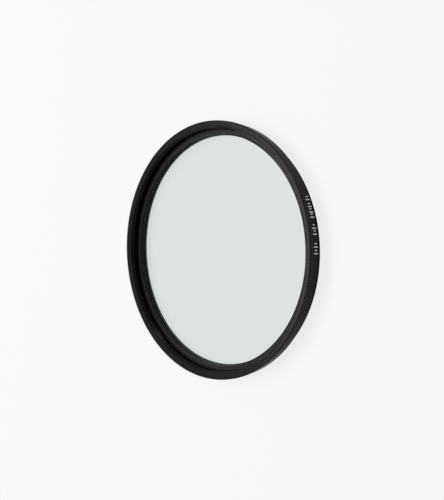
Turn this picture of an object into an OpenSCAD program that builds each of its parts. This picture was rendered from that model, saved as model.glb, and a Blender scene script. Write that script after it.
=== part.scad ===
// A screw-in lens filter: a knurled metal frame, a disc of coated glass in its seat, and the ring that holds
// the disc down. The frame has the same filter thread twice, a male one behind and a female one in front.
// It lies on the end of its rear thread with its front face up, and +Z is the axis of the lens.
// The fine threads are drawn as plain walls: the male one at its crests, the female one at its own crests.

/* [Filter thread] */
// Nominal diameter of the thread at both ends
thread_d = 67; // [49:0.5:82]
// Depth of the thread form, from crest to root
thread_depth = 0.4; // [0.25:0.05:0.5]
// Length of the male thread behind the body
rear_thread_l = 2.4; // [1.8:0.1:3]
// Depth of the free front thread, from the front face down to the retaining ring
front_depth = 2.2; // [1.9:0.1:3.5]

/* [Frame body] */
// Wall of the plain band outside the nominal thread
band_wall = 1.35; // [1.1:0.05:1.8]
// Flat of the front face, between its outer and its inner chamfer
front_land = 1.4; // [0.9:0.05:1.5]
// Chamfer at the rear corner of the body
body_chamfer = 0.15; // [0.1:0.05:0.3]
// Chamfer at the end of the male thread
thread_chamfer = 0.2; // [0.1:0.05:0.4]
// Width of the undercut where the male thread meets the body
undercut_w = 0.4; // [0.2:0.05:0.6]
// Width of the run-out groove below the front thread
runout_w = 0.6; // [0.3:0.05:0.7]

/* [Knurl] */
// Number of teeth round the grip
tooth_count = 300; // [120:12:360]
// Height of the tooth roots above the plain band
knurl_rise = 0.2; // [0.1:0.02:0.3]
// Height of a tooth
tooth_h = 0.2; // [0.1:0.05:0.3]
// Share of the pitch that is the flat crest of a tooth
crest_share = 0.35; // [0.2:0.05:0.5]
// Share of the pitch that is the flat root between two teeth
root_share = 0.25; // [0.1:0.05:0.4]
// Width of the knurled band, from the front face down
knurl_w = 1.1; // [0.8:0.05:1.3]
// Chamfer turned across the teeth at the front face
knurl_chamfer = 0.25; // [0.25:0.05:0.5]

/* [Glass and its seat] */
// Thickness of the glass disc
glass_t = 2; // [1:0.1:2.5]
// How far the edge of the glass lies inside the nominal thread
glass_inset = 1.5; // [1.3:0.05:2.5]
// Play round the edge of the glass
glass_play = 0.05; // [0.03:0.01:0.15]
// Chamfer on both edges of the glass
glass_chamfer = 0.15; // [0.05:0.05:0.3]
// Thickness of the ledge under the glass
ledge_t = 1.1; // [0.9:0.05:1.5]
// How far the ledge reaches in under the glass
ledge_w = 0.7; // [0.4:0.05:1.5]
// Chamfer of the rear opening
opening_chamfer = 0.7; // [0.3:0.05:0.8]

/* [Retaining ring] */
// Thickness of the retaining ring
retainer_t = 0.7; // [0.4:0.05:1]
// How far the retaining ring reaches in over the glass
retainer_w = 0.4; // [0.2:0.05:1.2]
// How far the thread of the retaining ring lies inside the crests of the front thread
retainer_step = 0.1; // [0.05:0.05:0.2]
// Play of the retaining ring in the frame
retainer_play = 0.05; // [0.03:0.01:0.08]
// Chamfer on the edges of the retaining ring
retainer_chamfer = 0.08; // [0.04:0.02:0.15]

/* [Hidden] */
$fn = 300;

// Radii, from the outside inwards
thread_r = thread_d / 2;
band_r = thread_r + band_wall;
root_r = band_r + knurl_rise;
crest_r = root_r + tooth_h;
front_r = crest_r - knurl_chamfer;
lip_r = front_r - front_land;
undercut_r = thread_r - thread_depth;
bore_r = thread_r - thread_depth;
runout_r = thread_r + retainer_play;
retainer_bore_r = bore_r - retainer_step;
retainer_r = retainer_bore_r - retainer_play;
glass_r = thread_r - glass_inset;
pocket_r = glass_r + glass_play;
retainer_in_r = glass_r - retainer_w;
opening_r = glass_r - ledge_w;

// Heights, from the end of the male thread upwards
glass_z = ledge_t;
retainer_z = glass_z + glass_t;
retainer_top_z = retainer_z + retainer_t;
front_z = retainer_top_z + front_depth;
lip_z = front_z - (lip_r - bore_r);
runout_top_z = retainer_top_z + runout_w;
body_z = rear_thread_l;
knurl_z = front_z - knurl_w;

// The retaining ring stands a little proud of the frame's step beside it
step_z = retainer_top_z - retainer_chamfer;

// Half section of the turned frame without its knurl, from the rear opening round to the front bore
function frame_section() = [
    [opening_r + opening_chamfer, 0],
    [thread_r - thread_chamfer, 0],
    [thread_r, thread_chamfer],
    [thread_r, body_z - undercut_w],
    [undercut_r, body_z - undercut_w],
    [undercut_r, body_z],
    [band_r - body_chamfer, body_z],
    [band_r, body_z + body_chamfer],
    [band_r, knurl_z],
    [front_r, knurl_z],
    [front_r, front_z],
    [lip_r, front_z],
    [bore_r, lip_z],
    [bore_r, runout_top_z],
    [runout_r, runout_top_z],
    [runout_r, step_z],
    [retainer_bore_r, step_z],
    [retainer_bore_r, retainer_z],
    [pocket_r, retainer_z],
    [pocket_r, glass_z],
    [opening_r, glass_z],
    [opening_r, opening_chamfer]
];

// A point at a radius and an angle
function polar(r, a) = [r * cos(a), r * sin(a)];

// Outline of the knurl: each tooth has a flat root, a flank, a flat crest and a flank
function knurl_outline() = [
    for (i = [0 : tooth_count - 1])
        let (
            pitch = 360 / tooth_count,
            crest_half = pitch * crest_share / 2,
            root_half = pitch * root_share / 2,
            mid = i * pitch
        )
        each [
            polar(root_r, mid - pitch / 2 + root_half),
            polar(crest_r, mid - crest_half),
            polar(crest_r, mid + crest_half),
            polar(root_r, mid + pitch / 2 - root_half)
        ]
];

// A turned ring or disc from a rectangle with its corners cut, between two radii
module turned(inner, outer, height, inner_cut, outer_cut) {
    rotate_extrude()
        polygon([
            [inner + inner_cut, 0],
            [outer - outer_cut, 0],
            [outer, outer_cut],
            [outer, height - outer_cut],
            [outer - outer_cut, height],
            [inner + inner_cut, height],
            [inner, height - inner_cut],
            [inner, inner_cut]
        ]);
}

// The teeth of the grip, with the front chamfer turned across them
module knurl() {
    overlap = (front_r - lip_r) / 2;
    intersection() {
        translate([0, 0, knurl_z])
            linear_extrude(height = knurl_w)
                polygon(knurl_outline());
        rotate_extrude()
            polygon([
                [front_r - overlap, knurl_z],
                [crest_r + tooth_h, knurl_z],
                [crest_r + tooth_h, front_z - knurl_chamfer - tooth_h],
                [front_r, front_z],
                [front_r - overlap, front_z]
            ]);
    }
}

// The frame: one turned and knurled piece, black
module filter_frame() {
    color("#1c1c1e")
        union() {
            rotate_extrude()
                polygon(frame_section());
            knurl();
        }
}

// The ring that is screwed down on the glass, black
module retaining_ring() {
    color("#26262a")
        translate([0, 0, retainer_z])
            turned(retainer_in_r, retainer_r, retainer_t, retainer_chamfer, retainer_chamfer);
}

// The coated glass disc on its ledge, clear with a faint green tint
module glass_disc() {
    color([0.86, 0.91, 0.9, 0.35])
        translate([0, 0, glass_z])
            rotate_extrude()
                polygon([
                    [0, 0],
                    [glass_r - glass_chamfer, 0],
                    [glass_r, glass_chamfer],
                    [glass_r, glass_t - glass_chamfer],
                    [glass_r - glass_chamfer, glass_t],
                    [0, glass_t]
                ]);
}

filter_frame();
retaining_ring();
glass_disc();
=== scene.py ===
"""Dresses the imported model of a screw-in lens filter: a turned and knurled black frame with its fine threads,
the ring screwed down on the glass, the coated glass disc, and plain white index strokes on the rim. A pale
floor, a soft overhead light and the camera complete the scene. Lengths are in millimetres where no unit is
named, until a mesh is written in metres."""

import logging
import math
from dataclasses import dataclass, field
from enum import Enum, IntEnum

import bmesh
import bpy
import numpy as np
from mathutils import Matrix, Vector


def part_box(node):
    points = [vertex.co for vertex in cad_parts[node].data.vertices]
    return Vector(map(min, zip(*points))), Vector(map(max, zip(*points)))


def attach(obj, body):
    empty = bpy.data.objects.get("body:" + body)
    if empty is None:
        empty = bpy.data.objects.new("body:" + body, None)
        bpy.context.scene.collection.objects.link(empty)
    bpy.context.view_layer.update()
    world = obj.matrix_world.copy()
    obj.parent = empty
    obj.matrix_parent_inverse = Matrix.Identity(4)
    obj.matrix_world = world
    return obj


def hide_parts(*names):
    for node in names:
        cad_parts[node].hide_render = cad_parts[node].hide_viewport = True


MM = 0.001
BODY = "root"
LOG = logging.getLogger("lens_filter")

# Points of one piece that lie closer together than this become one point
WELD_MM = 0.0002
# The middle range of a noise, which a spread maps to a range of values
NOISE_LOW, NOISE_HIGH = 0.3, 0.7
# How much of the height is added to the radius for lines that run round flat faces and walls alike
LATHE_SLANT = 5 / 6

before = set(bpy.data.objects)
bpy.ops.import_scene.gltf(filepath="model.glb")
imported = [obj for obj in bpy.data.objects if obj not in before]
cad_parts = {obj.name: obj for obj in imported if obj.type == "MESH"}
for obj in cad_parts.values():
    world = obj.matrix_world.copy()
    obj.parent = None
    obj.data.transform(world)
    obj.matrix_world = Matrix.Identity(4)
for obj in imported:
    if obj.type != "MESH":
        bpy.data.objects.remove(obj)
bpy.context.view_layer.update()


class Node(Enum):
    """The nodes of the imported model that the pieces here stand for."""

    FRAME = "filter_frame"
    RING = "retaining_ring"
    GLASS = "glass_disc"


class Slot(Enum):
    """The record's material slots."""

    FRAME = "frame_black"
    RING = "ring_black"
    GLASS = "coated_glass"


class Corner(Enum):
    """How a corner of a turned section is finished: left sharp, or eased by a small round."""

    SHARP = 0
    EASED = 1


class FrameCoat(IntEnum):
    """The material slots of the frame's mesh."""

    TURNED = 0
    GRIP = 1
    LEDGE = 2


class GlassCoat(IntEnum):
    """The material slots of the glass disc's mesh."""

    CLEAR = 0
    GROUND = 1


@dataclass(frozen=True)
class CadSizes:
    """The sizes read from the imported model."""

    crest_r: float
    height: float
    ring_r: float
    ring_z: float
    ring_top: float
    glass_r: float
    glass_z: float
    glass_top: float

    @classmethod
    def read(cls) -> "CadSizes":
        """Reads the boxes of the three nodes.

        Returns:
            CadSizes: radii from the axis and heights above the floor.
        """
        low, high = {}, {}
        for node in Node:
            low[node], high[node] = (np.array(corner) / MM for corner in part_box(node.value))
        return cls(
            crest_r=float(high[Node.FRAME][0]),
            height=float(high[Node.FRAME][2]),
            ring_r=float(high[Node.RING][0]),
            ring_z=float(low[Node.RING][2]),
            ring_top=float(high[Node.RING][2]),
            glass_r=float(high[Node.GLASS][0]),
            glass_z=float(low[Node.GLASS][2]),
            glass_top=float(high[Node.GLASS][2]),
        )


def on_circle(radius: np.ndarray, height: np.ndarray, angle: np.ndarray) -> np.ndarray:
    """Points at a radius, a height and an angle: x is radius times cosine, y is radius times sine, z is
    height.

    Args:
        radius: radii, rows by columns or rows by one.
        height: heights in the same layout.
        angle: the angle of each column, in radians.

    Returns:
        np.ndarray: rows by columns by x, y, z.
    """
    r, z, a = np.broadcast_arrays(radius, height, angle[None, :])
    return np.stack([r * np.cos(a), r * np.sin(a), z], axis=-1)


def eased_section(
    corners: list[tuple[float, float, Corner]], ease: float, steps: int = 3, most: float = 0.4
) -> np.ndarray:
    """A section with its marked corners eased. Each eased corner becomes a parabola: a point at share t of
    the way is (1 - t) squared times the cut on the way in, plus 2 t (1 - t) times the corner, plus t squared
    times the cut on the way out. The cuts lie one ease from the corner, or the most allowed share along a
    short side.

    Args:
        corners: radius, height and finish of each corner, in order.
        ease: distance from an eased corner to its cuts.
        steps: faces across an eased corner.
        most: the largest share of a side that a cut may take.

    Returns:
        np.ndarray: the section's points, one row each of radius and height.
    """
    spots = np.array([corner[:2] for corner in corners])
    finishes = [corner[2] for corner in corners[1:]]
    points = [spots[:1]]
    t = np.linspace(0, 1, steps + 1)[:, None]
    for before, here, after, finish in zip(spots, spots[1:], spots[2:], finishes):
        if finish is Corner.SHARP:
            points.append(here[None, :])
            continue
        into, out = before - here, after - here
        cuts = [here + side * min(ease / np.linalg.norm(side), most) for side in (into, out)]
        points.append((1 - t) ** 2 * cuts[0] + 2 * t * (1 - t) * here + t**2 * cuts[1])
    points.append(spots[-1:])
    return np.concatenate(points)


class Shell:
    """A closed mesh gathered from blocks of points and faces, welded where the blocks meet."""

    def __init__(self) -> None:
        """Starts with no points and no faces."""
        self.points: list[np.ndarray] = []
        self.faces: list[list[int]] = []
        self.paints: list[int] = []
        self.count = 0

    def add_points(self, points: np.ndarray) -> np.ndarray:
        """Adds points and gives their numbers back in the same layout.

        Args:
            points: an array whose last axis holds x, y and z.

        Returns:
            np.ndarray: the number of each point.
        """
        flat = points.reshape(-1, 3)
        numbers = np.arange(self.count, self.count + len(flat)).reshape(points.shape[:-1])
        self.points.append(flat)
        self.count += len(flat)
        return numbers

    def add_faces(self, corners: np.ndarray, paint: int | np.ndarray = 0) -> None:
        """Adds one face for each row of point numbers.

        Args:
            corners: an array of point numbers, one row to a face.
            paint: the material slot of these faces, or of each one.
        """
        self.faces.extend(corners.tolist())
        self.paints.extend(np.broadcast_to(paint, len(corners)).tolist())

    def add_grid(self, points: np.ndarray, wrap: bool, paint: int | np.ndarray = 0) -> np.ndarray:
        """Adds a grid of points and the quads between its rows and columns. With rows along a section that
        runs anticlockwise about its inside, and columns by rising angle, the faces point outwards.

        Args:
            points: rows by columns by x, y, z.
            wrap: whether the last column joins the first.
            paint: the material slot of the faces, or of each row of faces.

        Returns:
            np.ndarray: the point numbers, rows by columns.
        """
        numbers = self.add_points(points)
        n = np.concatenate([numbers, numbers[:, :1]], axis=1) if wrap else numbers
        quads = np.stack([n[:-1, :-1], n[:-1, 1:], n[1:, 1:], n[1:, :-1]], axis=-1)
        rows, columns = quads.shape[:2]
        self.add_faces(quads.reshape(-1, 4), np.repeat(np.broadcast_to(paint, rows), columns))
        return numbers

    def add_turned(self, section: np.ndarray, columns: int, paint: int | np.ndarray = 0) -> np.ndarray:
        """Adds a section turned once round the axis.

        Args:
            section: the section's points, one row each of radius and height.
            columns: steps round the axis.
            paint: the material slot of the faces, or of each row of faces.

        Returns:
            np.ndarray: the point numbers, rows by columns.
        """
        around = np.linspace(0, 2 * math.pi, columns, endpoint=False)
        return self.add_grid(on_circle(section[:, :1], section[:, 1:], around), True, paint)

    def finish(
        self, name: str, materials: list[bpy.types.Material], sharp_deg: float = 40.0
    ) -> bpy.types.Object:
        """Welds the points, marks sharp edges, and makes the object with area-weighted normals.

        Args:
            name: the piece's name.
            materials: the piece's materials in slot order.
            sharp_deg: edges that bend by more than this are sharp.

        Returns:
            bpy.types.Object: the finished piece, at the origin.
        """
        mesh = bpy.data.meshes.new(name)
        mesh.from_pydata(np.concatenate(self.points) * MM, [], self.faces)
        mesh.polygons.foreach_set("material_index", np.array(self.paints, dtype=np.int32))
        work = bmesh.new()
        work.from_mesh(mesh)
        bmesh.ops.remove_doubles(work, verts=work.verts, dist=WELD_MM * MM)
        bmesh.ops.dissolve_degenerate(work, edges=work.edges, dist=WELD_MM * MM)
        work.to_mesh(mesh)
        work.free()
        mesh.shade_smooth()
        mesh.set_sharp_from_angle(angle=math.radians(sharp_deg))
        for material in materials:
            mesh.materials.append(material)
        piece = bpy.data.objects.new(name, mesh)
        bpy.context.scene.collection.objects.link(piece)
        normals = piece.modifiers.new("even_normals", "WEIGHTED_NORMAL")
        normals.keep_sharp = True
        return piece


def stand_for(piece: bpy.types.Object, node: Node) -> bpy.types.Object:
    """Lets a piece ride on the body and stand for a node.

    Args:
        piece: the piece.
        node: the node that it stands for.

    Returns:
        bpy.types.Object: the same piece.
    """
    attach(piece, BODY)
    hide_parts(node.value)
    return piece


@dataclass(frozen=True)
class ThreadForm:
    """A fine 60 degree thread between a root and a crest radius, right-handed. The flats are shares of the
    pitch."""

    root_r: float
    crest_r: float
    pitch: float = 0.75
    crest_flat: float = 0.125
    root_flat: float = 0.25

    @property
    def flank(self) -> float:
        """The share of the pitch that one flank takes."""
        return (1 - self.crest_flat - self.root_flat) / 2

    def radius(self, height: np.ndarray, turn: np.ndarray) -> np.ndarray:
        """The thread's radius at a height and a share of a turn. The phase is height over pitch less the
        turn, from 0 to 1. It rises from root to crest over one flank, holds the crest, and falls over the
        other flank.

        Args:
            height: heights.
            turn: angle as a share of a full turn.

        Returns:
            np.ndarray: radii.
        """
        phase = np.mod(height / self.pitch - turn, 1.0)
        away = np.abs(phase - 0.5)
        share = np.clip((self.crest_flat / 2 + self.flank - away) / self.flank, 0, 1)
        return self.root_r + (self.crest_r - self.root_r) * share

    def marks(self) -> np.ndarray:
        """The phases of a turn's edges and of the middles of its flanks.

        Returns:
            np.ndarray: two root edges, two crest edges and two middles, in rising order.
        """
        half = self.crest_flat / 2
        rising = [0.5 - half - self.flank, 0.5 - half - self.flank / 2, 0.5 - half]
        return np.array(rising + [1 - phase for phase in reversed(rising)])

    def rows(self, low: float, high: float, turn: np.ndarray) -> np.ndarray:
        """Heights of the grid rows that follow the helix, kept between two heights. Row by row the height is
        the pitch times the sum of a whole number, an edge's phase and the turn.

        Args:
            low: lowest height of the thread.
            high: highest height of the thread.
            turn: the share of a turn of each column.

        Returns:
            np.ndarray: rows by columns of heights.
        """
        first, last = math.floor(low / self.pitch) - 1, math.ceil(high / self.pitch) + 1
        whole = np.arange(first, last)[:, None]
        phases = (whole + self.marks()[None, :]).reshape(-1, 1)
        heights = self.pitch * (phases + turn[None, :])
        heights = heights[(heights.max(axis=1) > low) & (heights.min(axis=1) < high)]
        ends = [np.full((1, len(turn)), low), heights, np.full((1, len(turn)), high)]
        return np.clip(np.concatenate(ends), low, high)


@dataclass
class FilterFrame:
    """The turned frame: male thread, plain band, knurled grip, front rim, threaded bore, and the glass's
    seat."""

    cad: CadSizes
    columns: int = 600
    ease: float = 0.05
    rim_ease: float = 0.03
    thread_r: float = 33.5
    thread_depth: float = 0.4
    rear_thread_l: float = 2.4
    undercut_w: float = 0.4
    band_wall: float = 1.35
    body_chamfer: float = 0.15
    thread_chamfer: float = 0.2
    knurl_w: float = 1.1
    knurl_chamfer: float = 0.25
    grip_slope: float = 0.4
    tooth_count: int = 300
    tooth_h: float = 0.2
    crest_share: float = 0.35
    root_share: float = 0.25
    crest_kept: float = 0.88
    flank_eased: float = 0.15
    lift_eased: float = 0.8
    front_land: float = 1.4
    runout_w: float = 0.6
    runout_play: float = 0.05
    step_drop: float = 0.08
    retainer_step: float = 0.1
    pocket_play: float = 0.05
    ledge_w: float = 0.7
    opening_chamfer: float = 0.7

    @property
    def band_r(self) -> float:
        """Radius of the plain band."""
        return self.thread_r + self.band_wall

    @property
    def front_r(self) -> float:
        """Outer radius of the front rim."""
        return self.cad.crest_r - self.knurl_chamfer

    @property
    def lip_r(self) -> float:
        """Inner radius of the front rim."""
        return self.front_r - self.front_land

    @property
    def bore_r(self) -> float:
        """Crest radius of the female thread, and root radius of the male one."""
        return self.thread_r - self.thread_depth

    @property
    def groove_r(self) -> float:
        """Radius of the run-out groove under the female thread."""
        return self.thread_r + self.runout_play

    @property
    def angles(self) -> np.ndarray:
        """The angle of each column and, once more, of the first one."""
        return np.linspace(0, 2 * math.pi, self.columns + 1)

    def rear_thread(self, shell: Shell) -> None:
        """Adds the male thread with its lead at the end and its end wall at the undercut. Its radius is the
        thread form's, and near the end no more than the lead cone's, which widens as it rises from the flat
        end.

        Args:
            shell: the shell that takes the faces.
        """
        form = ThreadForm(self.bore_r, self.thread_r)
        turn = self.angles / (2 * math.pi)
        high = self.rear_thread_l - self.undercut_w
        heights = form.rows(0.0, high, turn)
        lead = self.thread_r - self.thread_chamfer + heights
        radii = np.minimum(form.radius(heights, turn[None, :]), lead)
        wall = np.full((1, len(turn)), self.bore_r)
        radii = np.concatenate([wall, radii, wall])
        heights = np.concatenate([np.zeros_like(wall), heights, np.full_like(wall, high)])
        shell.add_grid(on_circle(radii, heights, self.angles), wrap=False)

    def front_thread(self, shell: Shell) -> None:
        """Adds the female thread from the rim down to the run-out groove. Its radius is the thread form's,
        and near the rim no less than the lead cone's, which widens as it rises.

        Args:
            shell: the shell that takes the faces.
        """
        form = ThreadForm(self.thread_r, self.bore_r)
        turn = self.angles / (2 * math.pi)
        low, high = self.cad.ring_top + self.runout_w, self.cad.height - self.rim_ease
        heights = form.rows(low, high, turn)[::-1]
        cone = self.lip_r - (self.cad.height - heights)
        radii = np.maximum(form.radius(heights, turn[None, :]), cone)
        wall = np.full((1, len(turn)), self.groove_r)
        radii = np.concatenate([radii, wall])
        heights = np.concatenate([heights, np.full_like(wall, low)])
        shell.add_grid(on_circle(radii, heights, self.angles), wrap=False)

    def rear_section(self) -> np.ndarray:
        """The section from the undercut up the band to the foot of the knurl.

        Returns:
            np.ndarray: rows of radius and height.
        """
        top = self.cad.height - self.knurl_w
        eased, sharp = Corner.EASED, Corner.SHARP
        return eased_section(
            [
                (self.bore_r, self.rear_thread_l - self.undercut_w, sharp),
                (self.bore_r, self.rear_thread_l, sharp),
                (self.band_r - self.body_chamfer, self.rear_thread_l, eased),
                (self.band_r, self.rear_thread_l + self.body_chamfer, eased),
                (self.band_r, top, sharp),
            ],
            self.ease,
        )

    def rim_section(self) -> np.ndarray:
        """The section across the flat front rim, with both of its edges eased.

        Returns:
            np.ndarray: rows of radius and height.
        """
        top, cut = self.cad.height, self.rim_ease
        return eased_section(
            [
                (self.front_r + cut, top - cut, Corner.SHARP),
                (self.front_r, top, Corner.EASED),
                (self.lip_r, top, Corner.EASED),
                (self.lip_r - cut, top - cut, Corner.SHARP),
            ],
            self.ease,
        )

    def seat_section(self) -> np.ndarray:
        """The section from the run-out groove down past the ring and the glass, and out below the ledge.

        Returns:
            np.ndarray: rows of radius and height.
        """
        cad = self.cad
        pocket_r = cad.glass_r + self.pocket_play
        opening_r = cad.glass_r - self.ledge_w
        ring_bore_r = self.bore_r - self.retainer_step
        step_z = cad.ring_top - self.step_drop
        eased, sharp = Corner.EASED, Corner.SHARP
        return eased_section(
            [
                (self.groove_r, cad.ring_top + self.runout_w, sharp),
                (self.groove_r, step_z, sharp),
                (ring_bore_r, step_z, eased),
                (ring_bore_r, cad.ring_z, sharp),
                (pocket_r, cad.ring_z, sharp),
                (pocket_r, cad.glass_z, sharp),
                (opening_r, cad.glass_z, eased),
                (opening_r, self.opening_chamfer, eased),
                (opening_r + self.opening_chamfer, 0.0, eased),
                (self.bore_r, 0.0, sharp),
            ],
            self.ease,
        )

    def half_tooth(self) -> tuple[np.ndarray, np.ndarray]:
        """Where the fine columns of half a tooth lie, from the middle of its crest to the edge of its root.
        The crest is level over the share of it that is kept, and its eased edge ends a little way down the
        flank.

        Returns:
            tuple[np.ndarray, np.ndarray]: each column's share of the half pitch from the crest's middle, and
            the share of the tooth height that it stands above the root.
        """
        crest, root = self.crest_share, 1 - self.root_share
        eased = crest + self.flank_eased * (root - crest)
        shares = np.array([0.0, 0.5 * crest, self.crest_kept * crest, eased, root])
        return shares, np.array([1.0, 1.0, 1.0, self.lift_eased, 0.0])

    def knurl(self, shell: Shell) -> None:
        """Adds the knurled grip: the foot, the teeth and the chamfer turned across them. A tooth's radius is
        the root radius plus the tooth height times a share: 1 over the crest, whose edges are eased, falling
        in a line over the flank, and 0 over the root. Its top lies below the rim's eased edge by the
        chamfer's slope times how far its radius is beyond that edge.

        Args:
            shell: the shell that takes the faces.
        """
        foot, edge_z = self.cad.height - self.knurl_w, self.cad.height - self.rim_ease
        edge_r = self.front_r + self.rim_ease
        down, lift = self.half_tooth()
        shares = np.concatenate([down, [1.0], 2 - down[:0:-1]])
        lifts = np.concatenate([lift, [0.0], lift[:0:-1]])
        half_pitch = math.pi / self.tooth_count
        crests = np.arange(self.tooth_count)[:, None] * 2 * half_pitch
        angle = (crests + shares[None, :] * half_pitch).ravel()
        root_r = self.cad.crest_r - self.tooth_h
        radius = np.tile(root_r + self.tooth_h * lifts, self.tooth_count)[None, :]
        top = edge_z - self.grip_slope * (radius - edge_r)
        rows = np.concatenate([np.full_like(radius, foot), top])
        sides = on_circle(np.repeat(radius, 2, axis=0), rows, angle)
        teeth = shell.add_grid(sides, wrap=True, paint=FrameCoat.GRIP)

        # The plain circles at the foot and at the rim have one column to each half tooth's fine ones
        ends = np.array([[self.band_r, foot], [edge_r, edge_z]])
        rims = shell.add_points(on_circle(ends[:, :1], ends[:, 1:], self.angles[:-1]))
        per = len(shares) // 2
        fine = (np.arange(self.columns)[:, None] * per + np.arange(per + 1)[None, :]) % teeth.shape[1]
        nexts = (np.arange(self.columns) + 1) % self.columns
        feet = [rims[0][:, None], rims[0][nexts][:, None], teeth[0][fine][:, ::-1]]
        caps = [teeth[1][fine], rims[1][nexts][:, None], rims[1][:, None]]
        for corners in (feet, caps):
            shell.add_faces(np.concatenate(corners, axis=1), FrameCoat.GRIP)

    def build(self, finishes: dict[FrameCoat, bpy.types.Material]) -> bpy.types.Object:
        """Builds the frame as one closed shell.

        Args:
            finishes: the material of each of its slots.

        Returns:
            bpy.types.Object: the piece, riding in place of the CAD frame.
        """
        shell = Shell()
        self.rear_thread(shell)
        for section in (self.rear_section(), self.rim_section()):
            shell.add_turned(section, self.columns)
        seat = self.seat_section()
        # The faces under the glass take the ledge's painted light
        under_glass = np.maximum(seat[:-1, 1], seat[1:, 1]) <= self.cad.glass_z + WELD_MM
        coats = np.where(under_glass, FrameCoat.LEDGE, FrameCoat.TURNED)
        shell.add_turned(seat, self.columns, coats)
        self.knurl(shell)
        self.front_thread(shell)
        piece = shell.finish("frame_turned", [finishes[coat] for coat in FrameCoat])
        return stand_for(piece, Node.FRAME)


@dataclass
class RetainingRing:
    """The thin ring screwed down on the edge of the glass."""

    cad: CadSizes
    columns: int = 480
    sharp_deg: float = 50.0
    width: float = 1.35
    chamfer: float = 0.08
    ease: float = 0.03

    def section(self) -> np.ndarray:
        """The ring's closed section, anticlockwise from the middle of its underside, with its chamfers eased.

        Returns:
            np.ndarray: rows of radius and height.
        """
        inner, outer = self.cad.ring_r - self.width, self.cad.ring_r
        low, high, cut = self.cad.ring_z, self.cad.ring_top, self.chamfer
        middle = (inner + outer) / 2
        spots = [
            (middle, low),
            (outer - cut, low),
            (outer, low + cut),
            (outer, high - cut),
            (outer - cut, high),
            (inner + cut, high),
            (inner, high - cut),
            (inner, low + cut),
            (inner + cut, low),
            (middle, low),
        ]
        return eased_section([(r, z, Corner.EASED) for r, z in spots], self.ease)

    def build(self, finish: bpy.types.Material) -> bpy.types.Object:
        """Builds the ring.

        Args:
            finish: the ring's material.

        Returns:
            bpy.types.Object: the piece, riding in place of the CAD ring.
        """
        shell = Shell()
        shell.add_turned(self.section(), self.columns)
        piece = shell.finish("retaining_ring_turned", [finish], self.sharp_deg)
        return stand_for(piece, Node.RING)


@dataclass
class GlassDisc:
    """The flat glass disc with its ground edge, chamfered on both sides. A hair of air stays between its
    faces and the metal, so that the ledge is seen through it."""

    cad: CadSizes
    columns: int = 360
    sharp_deg: float = 30.0
    chamfer: float = 0.15
    hair: float = 0.015
    face_shares: tuple[float, ...] = (0.25, 0.5, 0.75)

    def build(self, finishes: dict[GlassCoat, bpy.types.Material]) -> bpy.types.Object:
        """Builds the disc: both faces are rings of quads closed by one point at the middle.

        Args:
            finishes: the material of each of its slots.

        Returns:
            bpy.types.Object: the piece, riding in place of the CAD disc.
        """
        edge, cut = self.cad.glass_r, self.chamfer
        low, high = self.cad.glass_z + self.hair, self.cad.glass_top - self.hair
        inner = edge * np.array(self.face_shares)
        radii = np.concatenate([inner, [edge - cut, edge, edge, edge - cut], inner[::-1]])
        flat = len(inner) + 1
        heights = np.concatenate([np.full(flat, low), [low + cut, high - cut], np.full(flat, high)])
        on_edge = np.minimum(radii[:-1], radii[1:]) >= edge - cut
        coats = np.where(on_edge, GlassCoat.GROUND, GlassCoat.CLEAR)
        shell = Shell()
        rows = shell.add_turned(np.stack([radii, heights], axis=1), self.columns, coats)
        middles = shell.add_points(np.array([[0.0, 0.0, low], [0.0, 0.0, high]]))
        under, over = (np.full(self.columns, middle) for middle in middles)
        nexts = np.roll(np.arange(self.columns), -1)
        shell.add_faces(np.stack([under, rows[0][nexts], rows[0]], axis=1), GlassCoat.CLEAR)
        shell.add_faces(np.stack([over, rows[-1], rows[-1][nexts]], axis=1), GlassCoat.CLEAR)
        piece = shell.finish("glass_disc_coated", [finishes[coat] for coat in GlassCoat], self.sharp_deg)
        return stand_for(piece, Node.GLASS)


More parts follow.
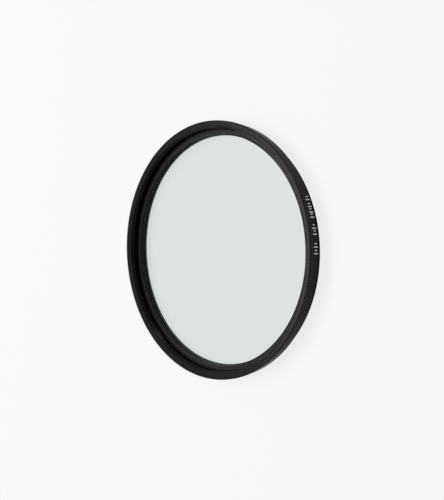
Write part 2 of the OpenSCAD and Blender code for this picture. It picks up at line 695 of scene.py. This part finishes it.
@dataclass
class RimMarks:
    """Plain white index strokes printed on the band, in three groups. Each mark is a long and a short stroke,
    as thin pads of paint that follow the band. Row by row from the middle of a stroke's face, the insets are
    shares of its width and the lifts are shares of how far it stands proud. The last row is its sunk back."""

    cad: CadSizes
    band_r: float
    centres_deg: tuple[float, ...] = (-90.85, -88.05, -82.6, -80.1, -75.4, -73.1, -70.7, -67.55)
    spacing: float = 0.42
    stroke_w: float = 0.3
    long_h: float = 1.58
    short_h: float = 0.85
    middle_z: float = 3.41
    proud: float = 0.025
    sunk: float = 0.02
    around: int = 28
    squareness: float = 5.0
    sharp_deg: float = 60.0
    insets: tuple[float, ...] = (0.45, 0.12, 0.04, 0.0, 0.0)
    lifts: tuple[float, ...] = (1.0, 1.0, 0.8, 0.35)

    def pad(self, width: float, height: float) -> tuple[np.ndarray, np.ndarray, np.ndarray]:
        """One pad of paint, flat. Its outline is a superellipse: the sum of the two half-size shares, each to
        the power of the squareness, is 1. Rows run from the middle of the face over the edge to the sunk
        back.

        Args:
            width: size along the band.
            height: size up the band.

        Returns:
            tuple[np.ndarray, np.ndarray, np.ndarray]: across, up and proud of the band, each rows by columns.
        """
        turn = np.linspace(0, 2 * math.pi, self.around, endpoint=False)
        power = 2 / self.squareness
        across = np.sign(np.cos(turn)) * np.abs(np.cos(turn)) ** power * width / 2
        up = np.sign(np.sin(turn)) * np.abs(np.sin(turn)) ** power * height / 2
        inset = np.array(self.insets)[:, None] * self.stroke_w
        lift = np.append(np.array(self.lifts) * self.proud, -self.sunk)[:, None]
        shrink_x = 1 - 2 * inset / width
        shrink_y = 1 - 2 * inset / height
        return across[None, :] * shrink_x, up[None, :] * shrink_y, np.repeat(lift, self.around, axis=1)

    def build(self, finish: bpy.types.Material) -> bpy.types.Object:
        """Builds all strokes as one piece.

        Args:
            finish: the paint.

        Returns:
            bpy.types.Object: the piece, riding on the filter.
        """
        shell = Shell()
        for centre in np.radians(self.centres_deg):
            for place, height in ((-1, self.long_h), (1, self.short_h)):
                across, up, lift = self.pad(self.stroke_w, height)
                angle = centre + (place * self.spacing + across) / self.band_r
                radius = self.band_r + lift
                x, y = radius * np.cos(angle), radius * np.sin(angle)
                spots = np.stack([x, y, self.middle_z + up], axis=-1)
                rows = shell.add_grid(spots[::-1], wrap=True)
                shell.add_faces(rows[-1][None, :])
                shell.add_faces(rows[0][None, ::-1])
        piece = shell.finish("rim_marks", [finish], self.sharp_deg)
        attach(piece, BODY)
        return piece


class NodeKit:
    """A short way to add shader nodes and links to one node tree."""

    def __init__(self, tree: bpy.types.NodeTree) -> None:
        """Keeps the tree and clears it."""
        self.tree = tree
        tree.nodes.clear()

    def add(self, kind: str, *feeds: tuple[int | str, object], **settings: object) -> bpy.types.Node:
        """Adds one node.

        Args:
            kind: the node's type, without its usual prefix.
            *feeds: pairs of an input and its value, or the output that feeds it.
            **settings: the node's own settings.

        Returns:
            bpy.types.Node: the node.
        """
        node = self.tree.nodes.new("ShaderNode" + kind)
        for name, value in settings.items():
            setattr(node, name, value)
        for socket, value in feeds:
            if isinstance(value, bpy.types.NodeSocket):
                self.tree.links.new(value, node.inputs[socket])
            else:
                node.inputs[socket].default_value = value
        return node

    def combine(self, operation: str, *values: bpy.types.NodeSocket | float) -> bpy.types.NodeSocket:
        """Works out one operation on up to three values."""
        return self.add("Math", *enumerate(values), operation=operation).outputs[0]

    def place(self) -> bpy.types.NodeSocket:
        """The place on the piece, in metres."""
        return self.add("TexCoord").outputs["Object"]

    def radius(self) -> bpy.types.NodeSocket:
        """The distance from the axis: the length of the place with its height taken as 0."""
        level = (1.0, 1.0, 0.0)
        flat = self.add("VectorMath", (0, self.place()), (1, level), operation="MULTIPLY").outputs[0]
        return self.add("VectorMath", (0, flat), operation="LENGTH").outputs["Value"]

    def lathe_place(self) -> bpy.types.NodeSocket:
        """The distance along a turned section: the radius from the axis plus the slant times the height."""
        height = self.add("SeparateXYZ", (0, self.place())).outputs[2]
        return self.combine("MULTIPLY_ADD", height, LATHE_SLANT, self.radius())

    def noise(
        self, size_mm: float, detail: float = 2.0, along: bpy.types.NodeSocket | None = None
    ) -> bpy.types.NodeSocket:
        """A noise of a given size over the piece, or along one place value where that is given.

        Args:
            size_mm: the size of its coarsest spots.
            detail: how many finer layers it has.
            along: the place value of a noise in one dimension.

        Returns:
            bpy.types.NodeSocket: the noise.
        """
        spot = ("Vector", self.place()) if along is None else ("W", along)
        dimensions = "3D" if along is None else "1D"
        feeds = (spot, ("Scale", 1 / (size_mm * MM)), ("Detail", detail))
        return self.add("TexNoise", *feeds, noise_dimensions=dimensions).outputs[0]

    def ramp(
        self,
        value: bpy.types.NodeSocket,
        start: tuple[float, float],
        end: tuple[float, float],
        **settings: object,
    ) -> bpy.types.NodeSocket:
        """Maps a range of a value to another range.

        Args:
            value: the value.
            start: the ends of its range.
            end: the ends of the range that it is mapped to.
            **settings: the node's own settings.

        Returns:
            bpy.types.NodeSocket: the mapped value.
        """
        names = ("From Min", "From Max", "To Min", "To Max")
        return self.add("MapRange", ("Value", value), *zip(names, start + end), **settings).outputs[0]

    def spread(self, noise: bpy.types.NodeSocket, low: float, high: float) -> bpy.types.NodeSocket:
        """Maps the middle range of a noise to a range of values."""
        return self.ramp(noise, (NOISE_LOW, NOISE_HIGH), (low, high))

    def blend(self, share: bpy.types.NodeSocket, low: tuple, high: tuple) -> bpy.types.NodeSocket:
        """Blends two colours by a share."""
        feeds = ((0, share), (6, (*low, 1.0)), (7, (*high, 1.0)))
        return self.add("Mix", *feeds, data_type="RGBA").outputs[2]

    def bump(
        self, height: bpy.types.NodeSocket, depth_mm: float, under: bpy.types.NodeSocket | None = None
    ) -> bpy.types.NodeSocket:
        """Bump of a given depth.

        Args:
            height: the height, from 0 to 1.
            depth_mm: how deep the bump goes.
            under: another bump that it lies on.

        Returns:
            bpy.types.NodeSocket: the bent normal.
        """
        feeds = [("Height", height), ("Distance", depth_mm * MM), ("Strength", 1.0)]
        if under is not None:
            feeds.append(("Normal", under))
        return self.add("Bump", *feeds).outputs[0]

    def seen(self, kinds: tuple[str, ...]) -> bpy.types.NodeSocket:
        """Is 1 for the named kinds of ray and 0 for others.

        Args:
            kinds: names of the light path's outputs.

        Returns:
            bpy.types.NodeSocket: the largest of those outputs.
        """
        path = self.add("LightPath").outputs
        share = path[kinds[0]]
        for kind in kinds[1:]:
            share = self.combine("MAXIMUM", share, path[kind])
        return share

    def surface(self, shader: bpy.types.NodeSocket) -> None:
        """Feeds the material's surface."""
        self.add("OutputMaterial", ("Surface", shader))


def new_material(name: str) -> tuple[bpy.types.Material, NodeKit]:
    """Makes an empty material.

    Args:
        name: its name.
    """
    material = bpy.data.materials.new(name)
    material.use_nodes = True
    return material, NodeKit(material.node_tree)


@dataclass(frozen=True)
class AnodisedAluminium:
    """Anodised aluminium as it comes off the lathe: fine lines that run round the axis, a fine etched
    grain and cloudy changes of sheen. Where a crest highlight range is given, it is paler towards the outer
    radius: a painted highlight on the crests and painted shade in the roots."""

    name: str
    deep: tuple[float, float, float]
    pale: tuple[float, float, float]
    sheen_low: float
    sheen_high: float
    index: float = 1.18
    line_mm: float = 0.045
    line_detail: float = 3.0
    line_depth_mm: float = 0.0006
    grain_mm: float = 0.035
    grain_depth_mm: float = 0.0006
    cloud_mm: float = 9.0
    cloud_detail: float = 4.0
    # Radii over which the colour turns paler towards the crests: a painted highlight and painted shade
    crest_highlight_mm: tuple[float, float] | None = None
    least_crest_highlight: float = 0.6

    def cover(self, kit: NodeKit, dye: bpy.types.NodeSocket) -> bpy.types.NodeSocket:
        """The share of the paler colour: the uneven dye's own, and where a crest highlight range is given, that
        times a ramp from the teeth's roots, at 0, to their crests, at 1: painted highlight and painted shade.

        Args:
            kit: the material's kit.
            dye: the unevenness of the dye.

        Returns:
            bpy.types.NodeSocket: the share.
        """
        if self.crest_highlight_mm is None:
            return kit.spread(dye, 0.0, 1.0)
        # Painted highlight on the crests and painted shade in the roots, by radius
        lit_crest_share = kit.ramp(kit.radius(), (self.crest_highlight_mm[0] * MM, self.crest_highlight_mm[1] * MM), (0.0, 1.0))
        return kit.combine("MULTIPLY", kit.spread(dye, self.least_crest_highlight, 1.0), lit_crest_share)

    def material(self) -> bpy.types.Material:
        """Makes the material. The dye's unevenness is half the clouds plus half the lines.

        Returns:
            bpy.types.Material: the material.
        """
        material, kit = new_material(self.name)
        lines = kit.noise(self.line_mm, self.line_detail, kit.lathe_place())
        clouds = kit.noise(self.cloud_mm, self.cloud_detail)
        dye = kit.combine("MULTIPLY_ADD", clouds, 0.5, kit.combine("MULTIPLY", lines, 0.5))
        grain = kit.noise(self.grain_mm)
        normal = kit.bump(grain, self.grain_depth_mm, kit.bump(lines, self.line_depth_mm))
        shader = kit.add(
            "BsdfPrincipled",
            ("Base Color", kit.blend(self.cover(kit, dye), self.deep, self.pale)),
            ("Roughness", kit.spread(dye, self.sheen_low, self.sheen_high)),
            ("IOR", self.index),
            ("Normal", normal),
        )
        kit.surface(shader.outputs[0])
        return material


@dataclass(frozen=True)
class CoatedGlass:
    """Clear optical glass with a thin coating that weakens its reflection and leaves a faint green-grey cast.
    Shadow and diffuse rays pass straight through it."""

    name: str = "glass_clear_coated"
    clear: tuple[float, float, float] = (0.80, 0.82, 0.828)
    tinted: tuple[float, float, float] = (0.786, 0.816, 0.82)
    tint_mm: float = 25.0
    haze: float = 0.008
    haze_mm: float = 3.0
    haze_detail: float = 5.0
    cast: tuple[float, float, float] = (0.12, 0.2, 0.17)
    coat_nm: float = 135.0
    coat_index: float = 1.225
    shade: tuple[float, float, float] = (0.92, 0.945, 0.945)
    index: float = 1.5

    def material(self) -> bpy.types.Material:
        """Makes the material.

        Returns:
            bpy.types.Material: the material.
        """
        material, kit = new_material(self.name)
        tint = kit.spread(kit.noise(self.tint_mm), 0.0, 1.0)
        shader = kit.add(
            "BsdfPrincipled",
            ("Base Color", kit.blend(tint, self.clear, self.tinted)),
            ("Roughness", kit.spread(kit.noise(self.haze_mm, self.haze_detail), 0.0, self.haze)),
            ("IOR", self.index),
            ("Transmission Weight", 1.0),
            ("Specular Tint", (*self.cast, 1.0)),
            ("Thin Film Thickness", self.coat_nm),
            ("Thin Film IOR", self.coat_index),
        )
        passing = kit.add("BsdfTransparent", (0, (*self.shade, 1.0)))
        lit = kit.seen(("Is Shadow Ray", "Is Diffuse Ray"))
        mixed = kit.add("MixShader", (0, lit), (1, shader.outputs[0]), (2, passing.outputs[0]))
        kit.surface(mixed.outputs[0])
        return material


@dataclass(frozen=True)
class MattFilm:
    """A matt film with a fine grain and slightly uneven cover, for printed paint and for ground glass."""

    name: str
    full: tuple[float, float, float]
    thin: tuple[float, float, float]
    gloss: float = 0.5
    grain_mm: float = 0.06
    grain_depth_mm: float = 0.001
    cover_mm: float = 0.3
    detail: float = 3.0
    matt: tuple[float, float] = (0.4, 0.55)

    def material(self) -> bpy.types.Material:
        """Makes the material.

        Returns:
            bpy.types.Material: the material.
        """
        material, kit = new_material(self.name)
        grain = kit.noise(self.grain_mm, self.detail)
        cover = kit.spread(kit.noise(self.cover_mm, self.detail), 0.0, 1.0)
        shader = kit.add(
            "BsdfPrincipled",
            ("Base Color", kit.blend(cover, self.thin, self.full)),
            ("Roughness", kit.spread(grain, *self.matt)),
            ("Specular IOR Level", self.gloss),
            ("Normal", kit.bump(grain, self.grain_depth_mm)),
        )
        kit.surface(shader.outputs[0])
        return material


@dataclass
class Studio:
    """The pale floor, the soft overhead light and the pale surroundings."""

    floor_half_m: float = 3.0
    floor_points: int = 13
    floor_gap_mm: float = 0.01
    floor_colour: float = 0.95
    floor_spots: float = 0.004
    floor_spot_mm: float = 40.0
    backdrop: float = 0.947
    seen_share: float = 0.86
    light_size_m: float = 0.75
    light_place_m: tuple[float, float, float] = (0.1, 0.41, 0.8)
    light_turn_deg: float = 15.0
    light_fade: tuple[float, float] = (0.86, 1.0)
    light_radiance: float = 5.45
    sky: float = 0.18
    sight: tuple[str, ...] = ("Is Camera Ray", "Is Glossy Ray", "Is Transmission Ray")

    def floor(self) -> None:
        """Makes the floor: a square grid a hair below height 0, so that it doesn't lie in the filter's own
        end face. Its material is a pale matt one. For rays of sight, which come from the camera, from gloss
        or through the glass, most of it is the backdrop's own even tone, and the rest keeps a soft shadow."""
        side = np.linspace(-self.floor_half_m, self.floor_half_m, self.floor_points) / MM
        x, y = np.meshgrid(side, side, indexing="xy")
        z = np.full_like(x, -self.floor_gap_mm)
        shell = Shell()
        shell.add_grid(np.stack([x, y, z], axis=-1)[::-1], wrap=False)
        material, kit = new_material("floor_pale")
        darkest = self.floor_colour - self.floor_spots
        tone = kit.spread(kit.noise(self.floor_spot_mm), darkest, self.floor_colour)
        colour = kit.add("CombineColor", *((channel, tone) for channel in range(3))).outputs[0]
        matt = kit.add("BsdfDiffuse", ("Color", colour))
        even = kit.add("Emission", ("Color", (1.0, 1.0, 1.0, 1.0)), ("Strength", self.backdrop))
        share = kit.combine("MULTIPLY", kit.seen(self.sight), self.seen_share)
        kit.surface(kit.add("MixShader", (0, share), (1, matt.outputs[0]), (2, even.outputs[0])).outputs[0])
        floor = shell.finish("floor", [material])

    def light(self) -> None:
        """Hangs the square soft light over the filter, facing down. A square light that sends its power
        evenly has a brightness of its power over its area and pi. This one fades out towards one side, so
        that its mirror image in the rim has a soft edge there."""
        data = bpy.data.lights.new("overhead", "AREA")
        data.shape = "SQUARE"
        data.size = self.light_size_m
        data.energy = self.light_radiance * math.pi * self.light_size_m**2
        data.use_nodes = True
        kit = NodeKit(data.node_tree)
        across = kit.add("SeparateXYZ", (0, kit.add("NewGeometry").outputs["Parametric"])).outputs[1]
        glow = kit.ramp(across, self.light_fade, (1.0, 0.0), interpolation_type="SMOOTHSTEP")
        kit.add("OutputLight", ("Surface", kit.add("Emission", ("Strength", glow)).outputs[0]))
        lamp = bpy.data.objects.new("overhead", data)
        lamp.location = self.light_place_m
        lamp.rotation_euler = (0.0, 0.0, math.radians(self.light_turn_deg))
        bpy.context.scene.collection.objects.link(lamp)

    def surroundings(self) -> None:
        """Sets the world: the backdrop's tone for rays of sight, and a dimmer pale grey that lights the
        filter."""
        world = bpy.data.worlds.new("surroundings")
        world.use_nodes = True
        bpy.context.scene.world = world
        kit = NodeKit(world.node_tree)
        level = kit.ramp(kit.seen(self.sight), (0.0, 1.0), (self.sky, self.backdrop))
        shade = kit.add("Background", ("Color", (1.0, 1.0, 1.0, 1.0)), ("Strength", level))
        kit.add("OutputWorld", ("Surface", shade.outputs[0]))

    def build(self) -> None:
        """Sets up the floor, the light and the surroundings."""
        self.floor()
        self.light()
        self.surroundings()


@dataclass
class Viewpoint:
    """The camera, as fitted to the photograph: the front face's centre in the camera's own axes (right, down
    and ahead, in millimetres) and the two angles by which the filter's axis turns away from it."""

    front_z: float
    centre: tuple[float, float, float] = (-2.73, 0.09, 353.55)
    azimuth_deg: float = 44.58
    elevation_deg: float = -1.55
    focal_px: float = 1300.0
    picture_px: int = 500
    sensor_mm: float = 36.0
    nearest_m: float = 0.01

    def axes(self) -> np.ndarray:
        """The filter's X, Y and Z directions in the camera's axes. Z is the front face's normal; X is the
        picture's upward direction and Y its leftward direction, both laid into the face.

        Returns:
            np.ndarray: the three directions as columns.
        """
        azimuth, elevation = math.radians(self.azimuth_deg), math.radians(self.elevation_deg)
        level = math.cos(elevation)
        normal = -np.array([math.sin(azimuth) * level, math.sin(elevation), math.cos(azimuth) * level])
        right = np.cross((0.0, -1.0, 0.0), normal)
        right /= np.linalg.norm(right)
        return np.stack([np.cross(normal, right), -right, normal], axis=1)

    def build(self) -> None:
        """Makes the camera. Its turn is the transpose of the axes with down and ahead reversed, and its place
        is less that transpose times the filter's origin."""
        axes = self.axes()
        origin = np.array(self.centre) - axes[:, 2] * self.front_z
        turn = (np.diag([1.0, -1.0, -1.0]) @ axes).T
        place = -axes.T @ origin * MM
        data = bpy.data.cameras.new("camera")
        data.sensor_width = self.sensor_mm
        data.lens = self.focal_px * self.sensor_mm / self.picture_px
        data.clip_start = self.nearest_m
        camera = bpy.data.objects.new("camera", data)
        camera.matrix_world = Matrix.Translation(Vector(place)) @ Matrix(turn.tolist()).to_4x4()
        bpy.context.scene.collection.objects.link(camera)
        bpy.context.scene.camera = camera


@dataclass
class LensFilter:
    """The whole filter: its pieces and their finishes."""

    cad: CadSizes = field(default_factory=CadSizes.read)
    frame_finish: AnodisedAluminium = AnodisedAluminium(
        "anodised_black_satin", (0.0035, 0.0035, 0.0039), (0.006, 0.006, 0.0065), 0.13, 0.18
    )
    # The knurl's colour is paler at the tooth crests and darker in the roots: a painted highlight and painted
    # shade
    grip_finish: AnodisedAluminium = AnodisedAluminium(
        "anodised_black_knurl",
        (0.002, 0.002, 0.0022),
        (0.028, 0.028, 0.029),
        0.24,
        0.32,
        crest_highlight_mm=(35.05, 35.22),
    )
    # The black ledge under the glass has a pale green-grey colour and no gloss: painted light, the look of the
    # lit ledge seen through the coated glass
    ledge_painted_light: AnodisedAluminium = AnodisedAluminium(
        "anodised_black_ledge_painted_light", (0.1, 0.117, 0.112), (0.125, 0.146, 0.14), 0.3, 0.4, index=1.0
    )
    ring_finish: AnodisedAluminium = AnodisedAluminium(
        "anodised_black_matt", (0.005, 0.005, 0.0055), (0.008, 0.008, 0.0086), 0.3, 0.38
    )
    glass_finish: CoatedGlass = CoatedGlass()
    ground_finish: MattFilm = MattFilm(
        "glass_edge_ground", (0.05, 0.06, 0.057), (0.04, 0.048, 0.045), gloss=0.0
    )
    paint: MattFilm = MattFilm("marking_white", (0.86, 0.86, 0.85), (0.7, 0.7, 0.7))

    def build(self) -> None:
        """Builds every piece and reports it."""
        body = FilterFrame(self.cad)
        metal = {
            FrameCoat.TURNED: self.frame_finish.material(),
            FrameCoat.GRIP: self.grip_finish.material(),
            FrameCoat.LEDGE: self.ledge_painted_light.material(),
        }
        glass = {
            GlassCoat.CLEAR: self.glass_finish.material(),
            GlassCoat.GROUND: self.ground_finish.material(),
        }
        pieces = [
            body.build(metal),
            RetainingRing(self.cad).build(self.ring_finish.material()),
            GlassDisc(self.cad).build(glass),
            RimMarks(self.cad, body.band_r).build(self.paint.material()),
        ]
        for piece in pieces:
            points, faces = len(piece.data.vertices), len(piece.data.polygons)
            LOG.info("%s: %d points, %d faces", piece.name, points, faces)


def main() -> None:
    """Builds the camera, the filter and the studio in that order."""
    logging.basicConfig(level=logging.INFO, format="%(message)s")
    bpy.context.scene.view_settings.view_transform = "Standard"
    lens_filter = LensFilter()
    Viewpoint(lens_filter.cad.height).build()
    lens_filter.build()
    Studio().build()
    bpy.context.view_layer.update()


if __name__ == "__main__":
    main()
